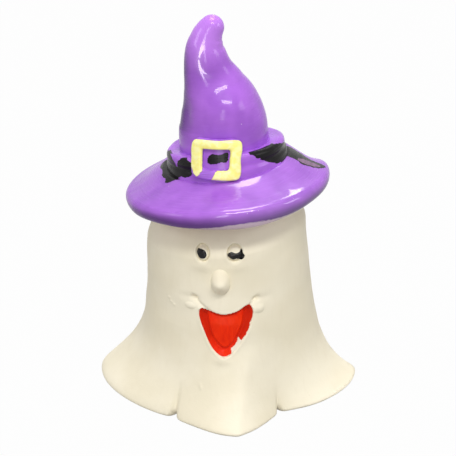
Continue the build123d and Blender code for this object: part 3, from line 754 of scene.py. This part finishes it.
# Hat crown: a tall cone of clay, pulled over to one side and curled at its round tip, set on the brim's land.
# It has a soft shoulder in front, finger dents and a bent flat that catches the light, and the same purple enamel.
CROWN_SPINE = (
    (0.0, 6.8, 11.6), (0.2, 12.8, 11.6), (0.65, 17.5, 11.2), (0.3, 22.5, 9.95), (-0.55, 27.4, 7.95),
    (-1.3, 32.0, 6.2), (-1.35, 36.6, 5.05), (-0.6, 39.4, 4.15), (0.3, 41.1, 3.6), (1.6, 42.75, 3.0),
)
CREASE = ((30.6, 3.0), (31.2, -3.0), (32.5, -12.0), (34.0, -17.0), (35.5, -18.0), (37.0, -14.0), (40.0, -6.0))
CREASE_FACING, CREASE_SPREAD = -3.0, 10.0
DENTS = (
    (0.7, 22.0, 30.0, 23.0, 3.6), (-0.8, 12.0, 34.0, 29.5, 3.4),
    (-0.5, -58.0, 14.0, 23.0, 4.0), (-0.3, -30.0, 12.0, 17.5, 2.6),
)


def open_curve(points, count):
    """Smooth line through points from the first to the last, a cubic for each span, with the ends carried on
    straight."""
    knots = np.asarray(points, float)
    knots = np.vstack([2.0 * knots[0] - knots[1], knots, 2.0 * knots[-1] - knots[-2]])
    at = np.linspace(0.0, len(points) - 1.0, count)
    span = np.minimum(at.astype(int), len(points) - 2)
    return cubic(*(knots[span + step] for step in (0, 1, 2, 3)), (at - span)[:, None])


def crown_piece():
    """The crown: rings square to the spine with the spine's radius, closed by the cap of a ball that carries on the
    last taper, with a shoulder, dents, a bent flat and slow unevenness added to the radius."""
    around = np.linspace(-180.0, 180.0, 260, endpoint=False)
    path = open_curve(CROWN_SPINE, 230)
    slope = np.gradient(path[:, :2], axis=0)
    slope /= np.linalg.norm(slope, axis=1)[:, None]
    start = np.arctan((path[-2, 2] - path[-1, 2]) / np.linalg.norm(path[-1, :2] - path[-2, :2]))
    over = np.linspace(start, np.radians(88.0), 36)[1:, None]
    ball = path[-1, 2] / np.cos(start)
    tip_middle = path[-1, :2] + ball * (np.sin(over) - np.sin(start)) * slope[-1]
    middle = np.concatenate([path[:, :2], tip_middle])
    slope = np.concatenate([slope, np.repeat(slope[-1:], len(tip_middle), axis=0)])
    radius = np.concatenate([path[:, 2:], ball * np.cos(over)])
    turn = np.radians(around)[None, :]
    high = middle[:, 1:]
    angle = around[None, :]
    for size, way, spread, level, tall in DENTS:
        radius = radius + size * bell(away_from(angle, way), spread) * bell(high - level, tall)
    bent = np.interp(high, *np.transpose(CREASE))
    aside = np.clip(angle - CREASE_FACING, -60.0, 60.0)
    chord = np.cos(np.radians(bent - CREASE_FACING)) / np.cos(np.radians(aside))
    flat = bell((angle - bent) / CREASE_SPREAD, 1.0) * smooth(high, 30.2, 31.5) * (1.0 - smooth(high, 38.0, 41.0))
    radius = radius * (1.0 + (chord - 1.0) * flat)
    uneven = 0.07 * np.sin(3.0 * turn + 0.35 * high) * smooth(high, 12.0, 16.0)
    radius = radius + uneven * (1.0 - smooth(high, 34.0, 40.0))
    across = radius * np.sin(turn)
    x = middle[:, :1] + across * slope[:, 1:]
    z = middle[:, 1:] - across * slope[:, :1]
    y = -radius * np.cos(turn)
    # Painted shade down the crown's left side, fading out towards the tip.
    painted_hat_shade = 1.15 * bell(away_from(angle, -88.0), 34.0) * smooth(high, 13.0, 18.0)
    fields = {
        **dict.fromkeys(("black", "bare", "clay"), np.full_like(x, NO_PAINT)),
        "painted_hat_shade": painted_hat_shade * (1.0 - smooth(high, 33.0, 40.0)),
        # Painted light: the crown lighter towards its tip; the same mask thickens the clear coat there.
        "thin": np.broadcast_to(smooth(high, 32.0, 41.0), x.shape),
        "wet": flat,
        "stroke": stroke_field(0.35 * radius, z, angle),
    }
    return skin("crown_cone", hat_point(x, y, z), fields=fields)


dress(crown_piece(), "purple_glaze", purple, "hat_crown")

# Hat band: a strap of clay laid round the foot of the crown, with a rounded lip and a pad under the buckle.
# Purple with the hat, then picked out in black by a brush that left the front and the lip.
BAND_INNER, BAND_OUTER, BAND_TAPER, BAND_TOP, BAND_ROUND = 11.62, 15.6, 0.15, 12.8, 1.2
PAD_ANGLE, PAD_HALF, PAD_RISE, CONE_RADIUS, CONE_FOOT, CONE_TAPER = -7.5, 5.4, 3.9, 15.7, 7.1, 0.28
BAND_ARC, BAND_FALL, BAND_PUSH, BAND_SINK, BAND_TUCK = 0.27, 1.2, 0.6, 0.1, 0.6
BLACK_ROUND = (
    (27, 12.6), (38, 12.9), (60, 12.7), (80, 11.3), (92, 10.9), (110, 12.0), (150, 12.6), (200, 12.2),
    (240, 12.6), (262, 11.9), (276, 12.6), (290, 12.6), (297, 12.0), (302, 11.2), (305, 10.2), (308, 11.6),
    (313, 12.6), (321, 12.6), (328, 11.4), (327.5, 9.0), (320, 8.0), (312, 7.9), (306, 6.8), (298, 5.6),
    (240, 5.5), (180, 5.5), (120, 5.6), (96, 6.2), (80, 7.7), (68, 7.2), (54, 8.0), (42, 9.6), (32, 11.6),
)
WINDOW_STREAK = ((-16.5, 12.2), (-12.0, 13.9), (-4.0, 13.6), (5.5, 13.9), (4.5, 11.9), (-3.0, 11.5), (-12.0, 11.4))


def band_piece():
    """The band: a closed profile at every angle, its top falling to the back; near the buckle its top rises and
    its face leans to the cone that the buckle is bent on."""
    around = np.linspace(-180.0, 180.0, 420, endpoint=False)
    angle = around[None, :]
    pad = 1.0 - smooth(np.abs(away_from(angle, PAD_ANGLE)) * BAND_ARC, PAD_HALF - 0.5, PAD_HALF + 0.5)
    fall = BAND_FALL * (1.0 - np.cos(np.radians(angle)))
    top = BAND_TOP + PAD_RISE * pad + 0.12 * np.sin(np.radians(5.0 * angle)) - 0.15 - fall
    low = LAND_HEIGHT - BAND_SINK
    up = np.linspace(0.0, 1.0, 44)[:, None]
    face_height = low + (top - BAND_ROUND - low) * up
    plain = BAND_OUTER - BAND_TAPER * (face_height - LAND_HEIGHT)
    plain = plain + BAND_PUSH * np.clip(np.sin(np.radians(angle)), 0.0, 1.0) ** 2
    coned = CONE_RADIUS - CONE_TAPER * (face_height - CONE_FOOT)
    face_radius = plain + (coned - plain) * pad
    face_radius = face_radius - 0.3 * smooth(up, 0.35, 0.6) * (1.0 - smooth(up, 0.6, 0.95)) * (1.0 - pad)
    over = np.radians(np.linspace(0.0, 90.0, 14))[1:, None]
    lip_radius = face_radius[-1:] - BAND_ROUND * (1.0 - np.cos(over))
    lip_height = face_height[-1:] + BAND_ROUND * np.sin(over)
    inward = np.linspace(0.0, 1.0, 12)[1:, None]
    roof_radius = lip_radius[-1:] + (BAND_INNER - BAND_TUCK - lip_radius[-1:]) * inward
    roof_height = lip_height[-1:] - 0.5 * inward**2
    down = np.linspace(1.0, 0.0, 8)[1:, None]
    wall_height = low + (roof_height[-1:] - low) * down
    wall_radius = np.full_like(wall_height, BAND_INNER - BAND_TUCK)
    radius = np.concatenate([face_radius, lip_radius, roof_radius, wall_radius])
    height = np.concatenate([face_height, lip_height, roof_height, wall_height])
    turn = np.radians(angle)
    full = np.broadcast_to(angle % 360.0, radius.shape)
    near = np.broadcast_to(away_from(angle, 0.0), radius.shape)
    painted = closed_curve(np.array(BLACK_ROUND) * (BAND_ARC, 1.0), 231)
    streak = closed_curve(np.array(WINDOW_STREAK) * (BAND_ARC, 1.0), 70)
    level = height + fall
    brushed = signed_gap(full * BAND_ARC, level, painted)
    brushed = np.maximum(brushed, signed_gap(near * BAND_ARC, level, streak))
    lip = smooth(BAND_OUTER - radius, 1.6, 3.0)
    fields = {
        "black": brushed - 2.0 * lip,
        **dict.fromkeys(("bare", "clay"), np.full_like(radius, NO_PAINT)),
        "stroke": stroke_field(radius, 2.0 * height, angle),
    }
    points = hat_point(radius * np.sin(turn), -radius * np.cos(turn), height)
    return skin("band_strap", points, loop=True, fields=fields)


dress(band_piece(), "black_paint", purple, "hat_band")

# Hat buckle: a square frame of clay bent round the band's front, fixed with slip and turned upright.
# The front is dabbed yellow, short of one corner; its sides kept the hat's purple.
BUCKLE_ANGLE, BUCKLE_MIDDLE, BUCKLE_TURN, BUCKLE_RELIEF, BUCKLE_SINK = -7.2, 12.45, -7.5, 1.35, 0.9
BUCKLE_FLAT, BUCKLE_ROUND = 0.45, 0.6
BUCKLE_OUTER = (
    (-6.2, 0.0), (-6.25, 2.6), (-5.6, 4.3), (-3.6, 4.75), (0.0, 4.7), (3.8, 4.85), (5.9, 4.4), (6.4, 2.6),
    (6.1, 0.2), (6.3, -2.6), (5.8, -4.4), (3.8, -4.8), (0.0, -4.75), (-4.0, -4.75), (-5.7, -4.2), (-6.2, -2.4),
)
BUCKLE_WINDOW = (
    (-3.2, 0.2), (-3.2, 1.6), (-3.0, 2.45), (-1.9, 2.6), (0.1, 2.6), (2.3, 2.6), (3.2, 2.4), (3.4, 1.5),
    (3.3, 0.2), (3.3, -1.2), (3.0, -2.2), (1.9, -2.4), (0.1, -2.4), (-2.0, -2.4), (-2.95, -2.2), (-3.2, -1.1),
)
YELLOW_OUTLINE = (
    (-4.4, -4.1), (-5.6, -2.7), (-6.6, 0.0), (-6.6, 2.8), (-5.8, 4.6), (-3.4, 5.1), (0.0, 5.0),
    (4.0, 5.2), (6.2, 4.8), (6.8, 2.8), (6.5, 0.4), (6.7, -2.6), (6.1, -4.7), (3.6, -5.2),
    (0.4, -5.1), (-0.7, -4.9), (-0.4, -3.8), (0.1, -2.7), (0.9, -1.9), (2.6, -1.8), (2.7, 0.2),
    (2.7, 1.8), (0.1, 2.1), (-2.5, 2.0), (-2.7, 0.2), (-2.9, -1.8), (-3.5, -3.2),
)


def buckle_piece():
    """The buckle: a rounded section carried round the frame, from window edge to outer edge in front and back
    behind, turned upright and bent on the cone in front of the band."""
    count = 224
    outer, window = closed_curve(BUCKLE_OUTER, count), closed_curve(BUCKLE_WINDOW, count)
    turn = np.linspace(0.0, 2.0 * np.pi, 36, endpoint=False)
    across, out = fuller(np.cos(turn), BUCKLE_FLAT), fuller(np.sin(turn), BUCKLE_ROUND)
    share = (0.5 + 0.5 * across)[:, None, None]
    flat = window[None] + (outer - window)[None] * share
    lift = np.where(out > 0.0, BUCKLE_RELIEF * out, BUCKLE_SINK * out)[:, None]
    lift = np.broadcast_to(lift, flat.shape[:2])
    roll = np.radians(BUCKLE_TURN)
    u = flat[..., 0] * np.cos(roll) - flat[..., 1] * np.sin(roll)
    v = BUCKLE_MIDDLE + flat[..., 0] * np.sin(roll) + flat[..., 1] * np.cos(roll)
    cone = CONE_RADIUS - CONE_TAPER * (v - CONE_FOOT)
    angle = np.radians(BUCKLE_ANGLE) + u / cone
    x, y = (cone + lift) * np.sin(angle), -(cone + lift) * np.cos(angle)
    fields = {
        "yellow": signed_gap(flat[..., 0], flat[..., 1], closed_curve(YELLOW_OUTLINE, 189)),
        "rise": lift / BUCKLE_RELIEF,
        "stroke": stroke_field(cone, 2.0 * v, np.degrees(angle)),
    }
    return skin("buckle_frame", hat_point(x, y, v), loop=True, fields=fields)


def yellow_enamel():
    """Lemon yellow enamel dabbed on the front of the frame over the purple, thicker in the middle of each bar."""
    material, shader, place = finish("yellow_enamel", Specular_IOR_Level=0.5, Coat_Weight=0.35, Coat_Roughness=0.15)
    fine = place.field("stroke", "Vector").noise(1.0, 2.0)
    dabs = place.noise(0.0014, 2.0)
    front = (place.field("rise") + (dabs - 0.5) * 0.5).ramp(0.42, 0.52)
    brushed = (place.field("yellow") + (dabs - 0.5) * 0.9).ramp(-0.05, 0.08)
    covered = front * brushed
    yellow = dabs.ramp(0.35, 0.7).mix(colour(248, 241, 130), colour(252, 249, 174))
    purple_side = fine.ramp(0.35, 0.7).mix(colour(150, 88, 198), colour(178, 110, 228))
    bump = (covered * 0.8 + dabs * 0.7 + fine * 0.2).relief(0.00022)
    wear(shader, Base_Color=covered.mix(purple_side, yellow), Roughness=0.3 + fine * 0.15, Normal=bump)
    return material


dress(buckle_piece(), "yellow_glaze", yellow_enamel(), "hat_buckle")

# Studio: a white table that keeps a faint shadow, a long lamp above the front, a soft one overhead, weak
# ones for the gloss, the sides and the back, and an even white surround.
TABLE_HALF, TABLE_SHOWN_WHITE = 3000.0, 0.98
PAPER, WARM_WHITE, WHITE = (0.3, 0.3, 0.295, 1.0), (1.0, 0.985, 0.96, 1.0), (1.0, 1.0, 1.0, 1.0)
SURROUND_LIGHT = 0.35


def seen_rays(tree):
    """1 for rays that show the surround: straight from the camera, mirrored or passed through."""
    rays = tree.nodes.new("ShaderNodeLightPath")
    straight, mirrored, passed = (
        Wire(tree, rays.outputs[kind]) for kind in ("Is Camera Ray", "Is Glossy Ray", "Is Transmission Ray")
    )
    return straight.math("MAXIMUM", straight, straight.math("MAXIMUM", mirrored, passed))


def white_table():
    """White paper: a plain diffuse white for light, and mostly even white to the eye."""
    material = bpy.data.materials.new("white_table")
    material.use_nodes = True
    tree = material.node_tree
    tree.nodes.clear()
    path = seen_rays(tree)
    paper = path.node("ShaderNodeBsdfDiffuse", {}, {"Color": PAPER})
    even = path.node("ShaderNodeEmission", {}, {"Color": WHITE})
    shown = path.node("ShaderNodeMixShader", {}, {0: path * TABLE_SHOWN_WHITE, 1: paper, 2: even})
    tree.links.new(shown.socket, tree.nodes.new("ShaderNodeOutputMaterial").inputs["Surface"])
    return material


corners = np.array([(-1, -1, 0), (1, -1, 0), (1, 1, 0), (-1, 1, 0)]) * TABLE_HALF * MM
table_mesh = bpy.data.meshes.new("table")
table_mesh.from_pydata(corners.tolist(), [], [(0, 1, 2, 3)])
table_mesh.materials.append(white_table())
table = placed("table", table_mesh)


def lamp(name, place, aim_height, width, height, power):
    """A soft lamp with level sides at a place, in metres, turned to face a point on the figure's axis."""
    light = bpy.data.lights.new(name, "AREA")
    light.shape, light.size, light.size_y, light.energy = "RECTANGLE", width, height, power
    holder = placed(name, light)
    holder.location = place
    way = np.array((0.0, 0.0, aim_height)) - np.array(place)
    flat = np.hypot(way[0], way[1])
    holder.rotation_euler = (np.arctan2(flat, -way[2]), 0.0, np.arctan2(-way[0], way[1]))


lamp("main_lamp", (0.1, -0.56, 0.82), 0.05, 0.5, 0.12, 4.4)
lamp("top_lamp", (0.02, 0.16, 1.05), 0.05, 0.4, 0.4, 4.0)
lamp("glint_lamp", (-0.14, -0.9, 0.3), 0.07, 0.2, 0.5, 1.5)
lamp("left_lamp", (-0.75, -0.25, 0.45), 0.03, 0.3, 0.3, 1.1)
lamp("right_lamp", (0.75, -0.25, 0.45), 0.03, 0.3, 0.3, 1.05)
lamp("back_lamp", (0.16, 0.7, 0.8), 0.07, 0.14, 0.14, 0.7)

world = bpy.data.worlds.new("surround")
world.use_nodes = True
world_tree = world.node_tree
rays = seen_rays(world_tree)
soft = rays.node("ShaderNodeBackground", {}, {"Color": WARM_WHITE, "Strength": SURROUND_LIGHT})
shown = rays.node("ShaderNodeBackground", {}, {"Color": WHITE})
both = rays.node("ShaderNodeMixShader", {}, {0: rays, 1: soft, 2: shown})
world_tree.links.new(both.socket, world_tree.nodes["World Output"].inputs["Surface"])
bpy.context.scene.world = world

# Camera: straight in front of the face and well above the hat, looking down on the figure by 25 degrees
# through a long lens, as the photograph's outline asks.
CAMERA_PLACE, CAMERA_PITCH = (0.0, -0.29908, 0.18446), 64.80
CAMERA_LENS, CAMERA_SENSOR = 97.54, 36.0
view = bpy.data.cameras.new("camera")
view.lens, view.sensor_width = CAMERA_LENS, CAMERA_SENSOR
camera = placed("camera", view)
camera.location = CAMERA_PLACE
camera.rotation_euler = (np.radians(CAMERA_PITCH), 0.0, 0.0)
bpy.context.scene.camera = camera
bpy.context.scene.view_settings.view_transform = "Standard"
